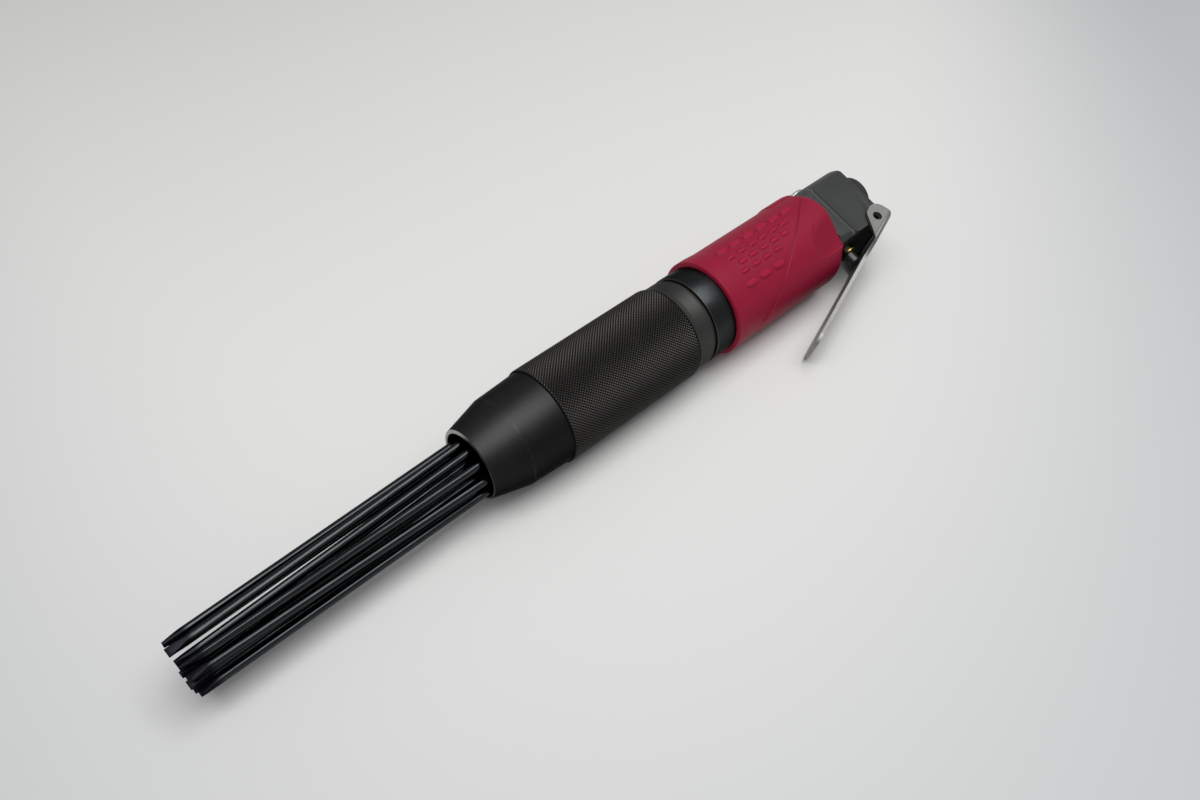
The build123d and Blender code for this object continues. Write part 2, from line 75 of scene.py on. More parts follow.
def spinOutline(bm, steps, axis=(1, 0, 0)):
    bmesh.ops.spin(bm, geom=bm.verts[:] + bm.edges[:], cent=(0, 0, 0), axis=axis, angle=2 * pi, steps=steps,
                   use_merge=True)
    weldAndOrient(bm)


def turnedOutline(points, steps):
    # points: (station, radius) round a closed section
    bm = bmesh.new()
    verts = [bm.verts.new((station, 0, radius)) for station, radius in points]
    for a, b in zip(verts, verts[1:] + verts[:1]):
        bm.edges.new((a, b))
    spinOutline(bm, steps)
    return bm


def addTurned(bm, profile, steps, centre=(0, 0, 0), axis=(1, 0, 0), zero=(0, 0, 1)):
    # profile: (station, radius, round) points of a closed section
    shape = bmesh.new()
    along, out = Vector(axis), Vector(zero)
    corners = [shape.verts.new(along * p[0] + out * p[1]) for p in profile]
    shape.faces.new(corners)
    for size in sorted({p[2] for p in profile if p[2] > 0}):
        chosen = [v for v, p in zip(corners, profile) if v.is_valid and p[2] == size]
        bmesh.ops.bevel(shape, geom=chosen, offset=size, affect="VERTICES", segments=meshSet["roundSegments"],
                        profile=0.5, material=-1)
    bmesh.ops.delete(shape, geom=shape.faces[:], context="FACES_ONLY")
    spinOutline(shape, steps, axis)
    bmesh.ops.translate(shape, verts=shape.verts, vec=centre)
    joinInto(bm, shape)


def finishPiece(bm, name, node, body, material, sharp=35, toPlace=True, flats=()):
    if toPlace:
        bmesh.ops.transform(bm, matrix=place, verts=bm.verts)
    flatWays = [(place.to_3x3() @ Vector(way)).normalized() for way in flats]
    for face in bm.faces:
        face.smooth = all(abs(face.normal.dot(way)) < meshSet["flatWithin"] for way in flatWays)
    mesh = bpy.data.meshes.new(name)
    bm.to_mesh(mesh)
    bm.free()
    mesh.set_sharp_from_angle(angle=radians(sharp))
    mesh.materials.append(material)
    piece = bpy.data.objects.new(name, mesh)
    bpy.context.scene.collection.objects.link(piece)
    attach(piece, body)
    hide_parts(node)
    print("piece", name, len(mesh.polygons), "faces")
    return piece


# shader helpers

class Wire:
    def __init__(self, board, socket):
        self.board, self.socket = board, socket

    def mathWith(self, operation, *values):
        return self.board.node("ShaderNodeMath", {"operation": operation}, dict(enumerate(values)))

    def __add__(self, other):
        return self.mathWith("ADD", self, other)

    def __radd__(self, other):
        return self.mathWith("ADD", other, self)

    def __sub__(self, other):
        return self.mathWith("SUBTRACT", self, other)

    def __rsub__(self, other):
        return self.mathWith("SUBTRACT", other, self)

    def __mul__(self, other):
        return self.mathWith("MULTIPLY", self, other)

    def __rmul__(self, other):
        return self.mathWith("MULTIPLY", other, self)

    def __pow__(self, other):
        return self.mathWith("POWER", self, other)

    def __rpow__(self, other):
        return self.mathWith("POWER", other, self)

    def __gt__(self, other):
        return self.mathWith("GREATER_THAN", self, other)

    def __lt__(self, other):
        return self.mathWith("LESS_THAN", self, other)

    def __abs__(self):
        return self.mathWith("ABSOLUTE", self)


class Finish:
    def __init__(self, name, **sockets):
        self.material = bpy.data.materials.new(name)
        self.material.use_nodes = True
        self.tree = self.material.node_tree
        self.shader = self.tree.nodes["Principled BSDF"]
        for label, value in sockets.items():
            self.shader.inputs[label.replace("_", " ")].default_value = value

    def node(self, kind, settings=None, values=None, out=0):
        made = self.tree.nodes.new(kind)
        for key, value in (settings or {}).items():
            setattr(made, key, value)
        for key, value in (values or {}).items():
            socket = made.inputs[key]
            if isinstance(value, Wire):
                self.tree.links.new(value.socket, socket)
            else:
                socket.default_value = value
        return Wire(self, made.outputs[out])

    def feed(self, label, wire):
        self.tree.links.new(wire.socket, self.shader.inputs[label])

    def objectCoords(self):
        return self.node("ShaderNodeTexCoord", out=3)

    def coords(self):
        # the tool's own millimetres: station, toward the lever, along the pin
        back = -radians(lie["roll"])
        shift = -(Matrix.Rotation(back, 3, "X") @ Vector(lie["axisPoint"])) * mmPerMetre
        return self.node("ShaderNodeMapping", {},
                         {0: self.objectCoords(), 1: shift, 2: (back, 0, 0), 3: (mmPerMetre,) * 3})

    def parts(self, vector):
        split = self.node("ShaderNodeSeparateXYZ", {}, {0: vector}).socket.node
        return [Wire(self, socket) for socket in split.outputs]

    def noise(self, vector, scale, detail, rough=0.55):
        return self.node("ShaderNodeTexNoise", {},
                         {"Vector": vector, "Scale": scale, "Detail": detail, "Roughness": rough})

    def stretch(self, vector, sizes):
        return self.node("ShaderNodeMapping", {}, {0: vector, 3: sizes})

    def step(self, wire, low, high):
        return self.node("ShaderNodeMapRange", {"interpolation_type": "SMOOTHSTEP"},
                         {0: wire, 1: low, 2: high})

    def blendColour(self, factor, first, second):
        ends = [c if isinstance(c, Wire) else (*c, 1) for c in (first, second)]
        return self.node("ShaderNodeMix", {"data_type": "RGBA"}, {0: factor, 6: ends[0], 7: ends[1]}, out=2)

    def bump(self, height, distance):
        values = {"Strength": 1.0, "Distance": distance, "Height": height}
        self.feed("Normal", self.node("ShaderNodeBump", {}, values))


def radiusOf(side, along):
    return (side * side + along * along) ** 0.5


# In a finish's settings a colour is linear, a noise is (scale, detail, roughness),
# a band is where a mask goes from 0 to 1, and a share is how much of that mask is used.


# finishes that several pieces share

blackSet = {
    "cloud": (0.3, 4.0), "fine": (3.0, 2.0), "cast": 1.05, "specular": 0.5, "roughCloud": 0.12,
    "bump": 0.00002,
}


def makeBlackFinish(name, low, high, rough):
    s = blackSet
    f = Finish(name, Metallic=0.0, Specular_IOR_Level=s["specular"])
    at = f.coords()
    cloud = f.noise(at, *s["cloud"])
    f.feed("Base Color", f.blendColour(cloud, (low, low, low * s["cast"]), (high, high, high)))
    f.feed("Roughness", rough + cloud * s["roughCloud"])
    f.bump(f.noise(at, *s["fine"]), s["bump"])
    return f.material


metalSet = {"cloud": (0.3, 4.0), "fine": (4.0, 2.0), "dim": 0.8, "roughCloud": 0.12, "bump": 0.00002}


def makeMetalFinish(name, colour, rough):
    s = metalSet
    f = Finish(name, Metallic=1.0)
    at = f.coords()
    cloud = f.noise(at, *s["cloud"])
    f.feed("Base Color", f.blendColour(cloud, tuple(c * s["dim"] for c in colour), colour))
    f.feed("Roughness", rough + cloud * s["roughCloud"])
    f.bump(f.noise(at, *s["fine"]), s["bump"])
    return f.material


finish = {
    "bushing": makeBlackFinish("bushingBlackOxide", 0.010, 0.018, 0.4),
    "pin": makeBlackFinish("pinBlackOxide", 0.003, 0.006, 0.6),
    "stem": makeBlackFinish("stemBlackOxide", 0.015, 0.03, 0.22),
    "seal": makeBlackFinish("sealRubber", 0.012, 0.02, 0.6),
    "cap": makeMetalFinish("capPlated", (0.8, 0.8, 0.79), 0.3),
    "inner": makeMetalFinish("innerGroundSteel", (0.46, 0.46, 0.45), 0.32),
    "spring": makeMetalFinish("springDrawnWire", (0.36, 0.36, 0.37), 0.35),
}
print("shared finishes", len(finish))


# nose

noseSet = {
    "profile": [(107.3, 12.3, 0.25), (107.3, 13.6, 0.45), (92.8, 17.4, 0.3), (76.0, 18.3, 0.25),
                (76.0, 16.0, 0), (62.0, 16.0, 0), (62.0, 14.5, 0), (88.0, 14.5, 0), (88.0, 12.3, 0)],
    "steps": 128, "tint": (0.4, 0.4, 0.4, 1),
    # the last colour on this line is painted shade for the flank toward the lever
    "low": (0.031, 0.0317, 0.031), "high": (0.043, 0.0437, 0.043), "paintedShade": (0.014, 0.0145, 0.0152),
    "worn": (0.16, 0.15, 0.13), "bare": (0.55, 0.54, 0.51),
    "turningSize": (9.0, 0.35, 0.35), "turning": (1.0, 4.0, 0.7), "cloud": (0.12, 4.0),
    "specks": (1.1, 2.0), "speckBand": (0.70, 0.76), "speckShare": 0.35,
    "bareSide": (-2.0, -8.0), "bareFace": (106.7, 107.0), "bareRadius": 12.3,
    "lineRadius": 13.2, "lineBand": (0.3, 0.1), "lineFace": (106.9, 107.1), "lineCloud": (0.3, 0.55),
    "lineShare": 0.3,
    "edgeStation": 92.8, "edgeBand": (0.45, 0.1), "edgeCloud": (0.35, 0.6), "edgeShare": 0.12,
    "paintedShadeSide": (4.0, 13.0), "paintedShadeShare": 0.8, "rough": 0.36, "roughCloud": 0.12, "roughTurning": 0.06,
    "bump": 0.00004, "bumpTurning": 0.6, "bumpCloud": 0.4,
}


def makeNoseFinish(s):
    f = Finish("noseBlackOxide", Metallic=1.0, Specular_Tint=s["tint"])
    at = f.coords()
    x, side, along = f.parts(at)
    r = radiusOf(side, along)
    turning = f.noise(f.stretch(at, s["turningSize"]), *s["turning"])
    cloud = f.noise(at, *s["cloud"])
    specks = f.step(f.noise(at, *s["specks"]), *s["speckBand"])
    # the rim is rubbed bare on the far side and only along a line elsewhere
    bare = f.step(side, *s["bareSide"]) * f.step(x, *s["bareFace"]) * (r > s["bareRadius"])
    line = f.step(abs(r - s["lineRadius"]), *s["lineBand"]) * f.step(x, *s["lineFace"])
    rubbedLine = line * f.step(cloud, *s["lineCloud"]) * s["lineShare"]
    rim = f.node("ShaderNodeMath", {"operation": "MAXIMUM"}, {0: bare, 1: rubbedLine})
    edge = f.step(abs(x - s["edgeStation"]), *s["edgeBand"]) * f.step(cloud, *s["edgeCloud"])
    dark = f.blendColour(cloud, s["low"], s["high"])
    # painted shade: the flank toward the lever, the lower side as the tool lies, is painted darker
    sideShaded = f.blendColour(f.step(side, *s["paintedShadeSide"]) * s["paintedShadeShare"], dark, s["paintedShade"])
    worn = f.blendColour(edge * s["edgeShare"] + specks * s["speckShare"], sideShaded, s["worn"])
    f.feed("Base Color", f.blendColour(rim, worn, s["bare"]))
    f.feed("Roughness", s["rough"] + cloud * s["roughCloud"] + turning * s["roughTurning"])
    f.bump(turning * s["bumpTurning"] + cloud * s["bumpCloud"], s["bump"])
    return f.material


bm = bmesh.new()
addTurned(bm, noseSet["profile"], noseSet["steps"])
finishPiece(bm, "noseTube", "nose", "body", makeNoseFinish(noseSet))


# knurled sleeve

sleeveSet = {
    "crest": 19.0, "valley": 18.62, "starts": 93, "front": 75.3, "rear": 14.4, "tint": (0.4, 0.4, 0.4, 1),
    "ends": [(14.0, 18.62), (13.6, 18.5), (11.4, 18.05), (10.9, 18.0), (5.7, 18.0), (5.4, 17.7), (5.4, 16.0),
             (76.0, 16.0), (76.0, 18.3), (75.7, 18.62)],
    "valleyColour": (0.010, 0.0097, 0.0094), "crestColour": (0.105, 0.1, 0.094), "worn": (0.10, 0.094, 0.084),
    "ringColour": (0.065, 0.064, 0.062), "knurlFrom": 13.8, "ringTo": 13.4,
    "cloud": (0.09, 4.0), "fine": (2.2, 2.0), "wornBand": (0.45, 0.75), "wornShare": 0.5, "specular": 0.3,
    "metallic": 0.9, "rough": 0.46, "roughCloud": 0.15, "crestPolish": 0.08, "ringPolish": 0.08,
    "bump": 0.00003,
}


def makeKnurlFinish(s):
    f = Finish("knurlBlackOxide", Metallic=s["metallic"], Specular_IOR_Level=s["specular"],
               Specular_Tint=s["tint"])
    at = f.coords()
    x, side, along = f.parts(at)
    crest = f.step(radiusOf(side, along), s["valley"], s["crest"]) * (x > s["knurlFrom"])
    cloud = f.noise(at, *s["cloud"])
    ring = x < s["ringTo"]
    base = f.blendColour(crest, s["valleyColour"], s["crestColour"])
    worn = f.blendColour(crest * f.step(cloud, *s["wornBand"]) * s["wornShare"], base, s["worn"])
    f.feed("Base Color", f.blendColour(ring, worn, s["ringColour"]))
    dull = s["rough"] + cloud * s["roughCloud"]
    f.feed("Roughness", dull - crest * s["crestPolish"] - ring * s["ringPolish"])
    f.bump(f.noise(at, *s["fine"]), s["bump"])
    return f.material


def makeSleeve(s):
    steps = 2 * s["starts"]
    span = s["front"] - s["rear"]
    rows = round(span / (2 * pi * s["crest"] / steps))
    gap = span / rows
    bm = turnedOutline([(s["front"] - gap * k, s["crest"]) for k in range(rows + 1)] + s["ends"], steps)
    slack = meshSet["slack"]
    low = []
    for v in bm.verts:
        r = hypot(v.co.y, v.co.z)
        if r < s["crest"] - slack or not s["rear"] - slack < v.co.x < s["front"] + slack:
            continue
        # every other point of the grid sinks, so the crests are left as diamonds
        across = round(atan2(v.co.y, v.co.z) / (2 * pi) * steps)
        row = round((s["front"] - v.co.x) / gap)
        if (across + row) % 2 == 0:
            v.co.y *= s["valley"] / r
            v.co.z *= s["valley"] / r
            low.append(v)
    bmesh.ops.connect_verts(bm, verts=low)
    finishPiece(bm, "knurledSleeve", "front_sleeve", "body", makeKnurlFinish(s), sharp=20)


makeSleeve(sleeveSet)


# lock ring

lockSet = {"profile": [(5.4, 16.0, 0), (5.4, 17.0, 0.2), (3.7, 17.0, 0.2), (3.7, 16.0, 0)], "steps": 96}
bm = bmesh.new()
addTurned(bm, lockSet["profile"], lockSet["steps"])
finishPiece(bm, "lockRing", "lock_ring", "body", finish["seal"])


# cylinder, whose collar shows

cylinderSet = {
    "profile": [(-68, 9.5, 0), (-68, 12, 0), (-56, 12, 0), (-56, 16.5, 0), (-6.5, 16.5, 0), (-6.5, 18.2, 0.2),
                (3.7, 18.2, 0.4), (3.7, 16.0, 0), (42, 16.0, 0), (42, 7, 0), (20, 7, 0), (20, 9.5, 0)],
    "steps": 128, "tint": (0.4, 0.4, 0.4, 1),
    "low": (0.032, 0.0343, 0.0355), "high": (0.041, 0.0435, 0.0448), "edge": (0.30, 0.25, 0.16),
    "turningSize": (14.0, 0.2, 0.2), "turning": (1.0, 3.0, 0.6), "cloud": (0.15, 3.0),
    "edgeBand": (3.2, 3.5), "edgeShare": 0.12, "rough": 0.24, "roughCloud": 0.1, "roughTurning": 0.05,
    "bump": 0.00002,
}


def makeCollarFinish(s):
    f = Finish("collarBlackOxide", Metallic=1.0, Specular_Tint=s["tint"])
    at = f.coords()
    turning = f.noise(f.stretch(at, s["turningSize"]), *s["turning"])
    cloud = f.noise(at, *s["cloud"])
    edge = f.step(f.parts(at)[0], *s["edgeBand"])
    base = f.blendColour(cloud, s["low"], s["high"])
    f.feed("Base Color", f.blendColour(edge * s["edgeShare"], base, s["edge"]))
    f.feed("Roughness", s["rough"] + cloud * s["roughCloud"] + turning * s["roughTurning"])
    f.bump(turning, s["bump"])
    return f.material


bm = bmesh.new()
addTurned(bm, cylinderSet["profile"], cylinderSet["steps"])
finishPiece(bm, "cylinderCollar", "cylinder", "body", makeCollarFinish(cylinderSet))


# grip: angles are in degrees from the lever pin's way, toward the lever

gripSet = {
    "front": -6.5, "rear": -70.8, "bore": 16.5, "rimBore": 15.1, "rimStep": -66.0,
    "step": 0.31, "around": 390, "wall": 19.5, "lip": 19.9, "lipBand": (-18.0, -9.5),
    "frontRoll": 0.7, "frontDrop": 0.35, "rearRoll": 3.0, "rearDrop": 2.0,
    "leverBand": (45.0, 60.0), "leverRoll": 3.0, "leverDrop": 2.0,
    "patch": {"raise": 0.45, "turnBand": (-52.0, -55.0), "frontBand": (-57.0, -57.8)},
}
ridgeSet = {
    # station, angle
    "line": [(-18.0, 88.0), (-24.8, 69.8), (-29.4, 56.7), (-35.3, 38.7), (-41.2, 24.5), (-46.4, 13.6),
             (-53.8, -2.1), (-60.4, -16.1), (-68.0, -31.0), (-71.5, -36.1)],
    "raise": 0.4, "slant": 0.72, "riseBand": (-0.3, 0.1), "fadeBand": (-17.5, -24.0),
    "creaseAt": -0.35, "creaseHalf": 0.4, "creaseShadeStrength": 0.8,
}
bumpSet = {
    # angle, first station, pitch, count, size
    "rows": [(-27.5, -19.0, 7.42, 6, "large"), (-13.7, -18.8, 6.07, 6, "small"),
             (-2.4, -21.5, 6.03, 5, "small"), (8.4, -19.35, 6.2, 4, "small"), (23.6, -18.9, 7.7, 3, "large")],
    "large": (5.4, 2.5), "small": (4.0, 1.5), "height": 0.72, "underHeight": 0.4, "edge": 0.3,
    "creaseAt": 0.28, "creaseHalf": 0.34, "creaseShadeStrength": 0.7,
}
thumbSet = {
    "tip": -54.0, "angle": 31.5, "round": 6.0, "half": 17.5, "spread": 1.2,
    "start": 0.25, "depth": 2.0, "run": 8.0, "dish": 0.7, "rimBand": (1.03, 0.95), "fadeBand": (2.0, 7.0),
    "lipAt": 1.04, "lipHalf": 0.06, "lipHighlightStrength": 0.9,
    "creaseAt": 0.93, "creaseHalf": 0.07, "creaseShadeStrength": 0.7, "dishShadeBand": (1.0, 0.6), "dishShadeStrength": 0.35,
}
rubberSet = {
    # the crown colour is a painted highlight and the crease colour painted shade
    "low": (0.222, 0.0055, 0.0255), "high": (0.257, 0.007, 0.031), "crown": (0.36, 0.008, 0.034),
    "creaseShade": (0.085, 0.0015, 0.008), "cloud": (0.07, 4.0), "grain": (4.5, 2.0), "highlightBand": (0.2, 0.9),
    "creaseShadeBand": (-0.1, -0.9), "paintedLightShare": 0.6, "specular": 0.15, "rough": 0.44, "roughGrain": 0.1,
    "roughCloud": 0.06, "bump": 0.00003,
}


def makeGripFinish(s):
    f = Finish("gripRubber", Metallic=0.0, Specular_IOR_Level=s["specular"])
    at = f.coords()
    cloud = f.noise(at, *s["cloud"])
    grain = f.noise(at, *s["grain"])
    # the mesh carries a mark of painted light: up for a painted highlight, down for painted shade
    paintedLightMark = f.node("ShaderNodeAttribute", {"attribute_name": "paintedLightMark"}, out=2)
    base = f.blendColour(cloud, s["low"], s["high"])
    crownHighlighted = f.blendColour(f.step(paintedLightMark, *s["highlightBand"]) * s["paintedLightShare"], base, s["crown"])
    creaseShaded = f.blendColour(f.step(paintedLightMark, *s["creaseShadeBand"]) * s["paintedLightShare"], crownHighlighted, s["creaseShade"])
    f.feed("Base Color", creaseShaded)
    f.feed("Roughness", s["rough"] + grain * s["roughGrain"] + cloud * s["roughCloud"])
    f.bump(grain, s["bump"])
    return f.material


def ease(value, low, high):
    t = min(1.0, max(0.0, (value - low) / (high - low)))
    return t * t * (3 - 2 * t)


def stripe(value, middle, half):
    return ease(abs(value - middle), half, 0.0)


def quarterRound(share):
    inside = min(1.0, max(0.0, share))
    return 1 - (1 - inside ** 2) ** 0.5


# each relief gives what it adds to the radius and a mark of painted light: up for a painted highlight on a
# crown, down for painted shade in a crease

def ridgeRelief(s, x, arc, wall):
    # the plain part toward the lever stands a little proud of a creased line, and the crease gets painted
    # shade
    for (xa, aa), (xb, ab) in zip(s["line"], s["line"][1:]):
        if xb <= x <= xa:
            line = wall * radians(aa + (ab - aa) * (xa - x) / (xa - xb))
            beyond = (arc - line) * s["slant"]
            fade = ease(x, *s["fadeBand"])
            creaseShade = s["creaseShadeStrength"] * stripe(beyond, s["creaseAt"], s["creaseHalf"])
            return s["raise"] * ease(beyond, *s["riseBand"]) * fade, -creaseShade * fade
    return 0.0, 0.0


def bumpRelief(s, x, arc, wall, height):
    rise, mark = 0.0, 0.0
    for rowAngle, first, pitch, count, size in s["rows"]:
        length, width = s[size]
        across = arc - wall * radians(rowAngle)
        if abs(across) >= width:
            continue
        for k in range(count):
            reach = max(0.0, abs(x - (first - pitch * k)) - (length - width) / 2)
            out = hypot(across, reach) - width / 2
            crown = ease(out, s["edge"] / 2, -s["edge"])
            rise += height * crown
            # the mark: a painted highlight on the crown and painted shade in a ring at its foot
            mark += crown - s["creaseShadeStrength"] * stripe(out, s["creaseAt"], s["creaseHalf"])
    return rise, mark


def thumbRelief(s, x, angle):
    # a dish with a round front end and a crisp lip, which runs out softly away from the lever; the lip gets a
    # painted highlight, and painted shade falls in the crease inside the lip and on the dish floor
    back = s["tip"] - x
    if back <= 0:
        return 0.0, 0.0
    aside = angle - s["angle"]
    spread, fade = (s["spread"] * back, ease(back, *s["fadeBand"])) if aside < 0 else (0.0, 0.0)
    front = (1 - max(0.0, 1 - back / s["round"]) ** 2) ** 0.5
    reach = abs(aside) / ((s["half"] + spread) * front)
    crisp = (1 - s["dish"] * reach ** 2) * ease(reach, *s["rimBand"])
    soft = max(0.0, 1 - reach ** 2) ** 2
    depth = s["start"] + s["depth"] * (1 - exp(-back / s["run"]))
    lip = s["lipHighlightStrength"] * stripe(reach, s["lipAt"], s["lipHalf"])
    creaseShade = s["creaseShadeStrength"] * stripe(reach, s["creaseAt"], s["creaseHalf"])
    mark = (1 - fade) * (lip - creaseShade) - s["dishShadeStrength"] * ease(reach, *s["dishShadeBand"])
    return -depth * (crisp + (soft - crisp) * fade), mark


def endDrop(s, x, angle):
    # both ends are rolled in, the rear one further beside the lever
    lever = ease(angle, *s["leverBand"])
    rear = quarterRound(1 - (x - s["rear"]) / (s["rearRoll"] + s["leverRoll"] * lever))
    front = quarterRound(1 - (s["front"] - x) / s["frontRoll"])
    return (s["rearDrop"] + s["leverDrop"] * lever) * rear + s["frontDrop"] * front


def gripRelief(s, x, angle, bumpHeight):
    wall, patch = s["wall"], s["patch"]
    arc = wall * radians(angle)
    ridge, ridgeShade = ridgeRelief(ridgeSet, x, arc, wall)
    bumps, bumpLight = bumpRelief(bumpSet, x, arc, wall, bumpHeight)
    thumb, thumbLight = thumbRelief(thumbSet, x, angle)
    lip = (s["lip"] - wall) * ease(x, *s["lipBand"])
    # a thicker patch under the palm, on the far side
    palm = patch["raise"] * ease(angle, *patch["turnBand"]) * ease(x, *patch["frontBand"])
    mark = max(-1.0, min(1.0, ridgeShade + bumpLight + thumbLight))
    return wall + lip + ridge + bumps + palm + thumb - endDrop(s, x, angle), mark


def makeGrip(s):
    span = s["front"] - s["rear"]
    count = round(span / s["step"])
    bore = [(s["rear"], s["rimBore"]), (s["rimStep"], s["rimBore"]), (s["rimStep"], s["bore"]),
            (s["front"], s["bore"])]
    outside = [(s["front"] - span * k / count, s["wall"]) for k in range(count + 1)]
    bm = turnedOutline(outside + bore, s["around"])
    # outer points also keep a mark of painted highlight and painted shade for the finish
    paintedLightMark = bm.verts.layers.float.new("paintedLightMark")
    for v in bm.verts:
        r = hypot(v.co.y, v.co.z)
        if r > s["wall"] - meshSet["slack"]:
            bumpHeight = bumpSet["height"] if v.co.z > 0 else bumpSet["underHeight"]
            new, v[paintedLightMark] = gripRelief(s, v.co.x, degrees(atan2(v.co.y, abs(v.co.z))), bumpHeight)
            v.co.y *= new / r
            v.co.z *= new / r
    finishPiece(bm, "gripSleeve", "grip_sleeve", "body", makeGripFinish(rubberSet), sharp=60)


makeGrip(gripSet)


# valve body and lever: their solids, welded, each sharp edge eased as far as the edges beside it allow

solidSet = {"weld": 2e-6, "flatAngle": 1.0}  # metres, degrees


def fromNode(nodeName, s):
    bm = bmesh.new()
    bm.from_mesh(nodes[nodeName].data)
    bmesh.ops.remove_doubles(bm, verts=bm.verts, dist=solidSet["weld"])
    bmesh.ops.dissolve_limit(bm, angle_limit=radians(solidSet["flatAngle"]), verts=bm.verts, edges=bm.edges,
                             use_dissolve_boundaries=False)
    sharp = [e for e in bm.edges if len(e.link_faces) == 2 and e.calc_face_angle() > radians(s["edgeAngle"])]
    bmesh.ops.bevel(bm, geom=sharp, offset=s["edge"], affect="EDGES", segments=meshSet["edgeSegments"],
                    profile=0.5, material=-1, clamp_overlap=True)
    bmesh.ops.remove_doubles(bm, verts=bm.verts, dist=solidSet["weld"])
    bm.normal_update()
    return bm


milledSet = {
    "edge": 0.00035, "edgeAngle": 30, "flats": [(1, 0, 0), (0, 1, 0), (0, 0, 1)],
    "low": (0.018, 0.0205, 0.019), "high": (0.032, 0.035, 0.032), "spot": (0.11, 0.105, 0.085),
    # the two colours on this line are a painted highlight and painted shade at the pad's step
    "edgeHighlight": (0.07, 0.073, 0.07), "footShade": (0.006, 0.006, 0.006),
    "cloud": (0.16, 5.0, 0.6), "grain": (3.2, 3.0),
    "spots": (0.7, 2.0), "spotBand": (0.66, 0.74), "spotShare": 0.3,
    "upperBand": (11.0, 11.6), "edgeHighlightStation": -78.3, "edgeHighlightBand": (1.0, 0.5), "edgeHighlightShare": 0.7,
    "footShadeStation": -79.7, "footShadeBand": (0.9, 0.5), "footShadeShare": 0.8, "specular": 0.45,
    "rough": 0.42, "roughGrain": 0.12, "roughCloud": 0.1, "bump": 0.00006, "bumpGrain": 0.7, "bumpCloud": 0.3,
}


def makeBodyFinish(s):
    f = Finish("bodyPhosphate", Metallic=0.0, Specular_IOR_Level=s["specular"])
    at = f.coords()
    x, _, along = f.parts(at)
    cloud = f.noise(at, *s["cloud"])
    grain = f.noise(at, *s["grain"])
    spots = f.step(f.noise(at, *s["spots"]), *s["spotBand"])
    base = f.blendColour(cloud, s["low"], s["high"])
    spotted = f.blendColour(spots * s["spotShare"], base, s["spot"])
    # the milled pad: a painted highlight along its edge and painted shade at its foot
    upper = f.step(along, *s["upperBand"])
    edge = f.step(abs(x - s["edgeHighlightStation"]), *s["edgeHighlightBand"]) * upper
    foot = f.step(abs(x - s["footShadeStation"]), *s["footShadeBand"]) * upper
    edgeHighlight = f.blendColour(edge * s["edgeHighlightShare"], spotted, s["edgeHighlight"])
    f.feed("Base Color", f.blendColour(foot * s["footShadeShare"], edgeHighlight, s["footShade"]))
    f.feed("Roughness", s["rough"] + grain * s["roughGrain"] + cloud * s["roughCloud"])
    f.bump(grain * s["bumpGrain"] + cloud * s["bumpCloud"], s["bump"])
    return f.material


finishPiece(fromNode("valve_body", milledSet), "valveBody", "valve_body", "body",
            makeBodyFinish(milledSet), sharp=40, toPlace=False, flats=milledSet["flats"])

leverSet = {
    "edge": 0.0003, "edgeAngle": 40, "flats": [(0, 0, 1), (-0.3223, 0.9466, 0)],
    "low": (0.235, 0.234, 0.225), "high": (0.29, 0.289, 0.277), "mark": (0.2, 0.19, 0.18),
    "brushedSize": (0.12, 2.5, 2.5), "brushed": (1.0, 4.0, 0.6), "cloud": (0.14, 3.0),
    "marks": (0.9, 2.0), "markBand": (0.68, 0.74), "markShare": 0.6,
    "rough": 0.4, "roughBrushed": 0.16, "roughMarks": 0.15, "bump": 0.00002,
}


def makeLeverFinish(s):
    f = Finish("leverPlated", Metallic=1.0)
    at = f.coords()
    brushed = f.noise(f.stretch(at, s["brushedSize"]), *s["brushed"])
    marks = f.step(f.noise(at, *s["marks"]), *s["markBand"])
    base = f.blendColour(f.noise(at, *s["cloud"]), s["low"], s["high"])
    f.feed("Base Color", f.blendColour(marks * s["markShare"], base, s["mark"]))
    f.feed("Roughness", s["rough"] + brushed * s["roughBrushed"] + marks * s["roughMarks"])
    f.bump(brushed, s["bump"])
    return f.material


finishPiece(fromNode("throttle_lever", leverSet), "throttleLever", "throttle_lever", "lever",
            makeLeverFinish(leverSet), sharp=40, toPlace=False, flats=leverSet["flats"])


# inlet

inletSet = {
    "centre": (0, -4.2, 0), "steps": 64,
    "profile": [(-105.5, 5.6, 0.4), (-105.5, 8.8, 0.7), (-98.5, 8.8, 0), (-98.5, 6.9, 0), (-88.0, 6.9, 0),
                (-88.0, 4.2, 0), (-93.5, 4.2, 0), (-93.5, 5.6, 0)],
}
bm = bmesh.new()
addTurned(bm, inletSet["profile"], inletSet["steps"], inletSet["centre"])
finishPiece(bm, "inletBushing", "inlet_bushing", "body", finish["bushing"])


# valve bush, cap and lever pin

brassSet = {
    # the darkest colour on this line is painted shade
    "low": (0.46, 0.30, 0.09), "high": (0.60, 0.40, 0.13), "paintedShade": (0.02, 0.016, 0.01), "cloud": (0.3, 4.0),
    "bareSide": (15.1, 15.6), "bareStation": (-77.4, -78.2), "rough": 0.3, "roughCloud": 0.12,
}


def makeBrassFinish(s):
    f = Finish("brassTurned", Metallic=1.0)
    at = f.coords()
    x, side, _ = f.parts(at)
    cloud = f.noise(at, *s["cloud"])
    # painted shade darkens all of the bush but its lip, which keeps its brass colour
    bare = f.step(side, *s["bareSide"]) * f.step(x, *s["bareStation"])
    f.feed("Base Color", f.blendColour(bare, s["paintedShade"], f.blendColour(cloud, s["low"], s["high"])))
    f.feed("Roughness", s["rough"] + cloud * s["roughCloud"])
    return f.material


finish["brass"] = makeBrassFinish(brassSet)

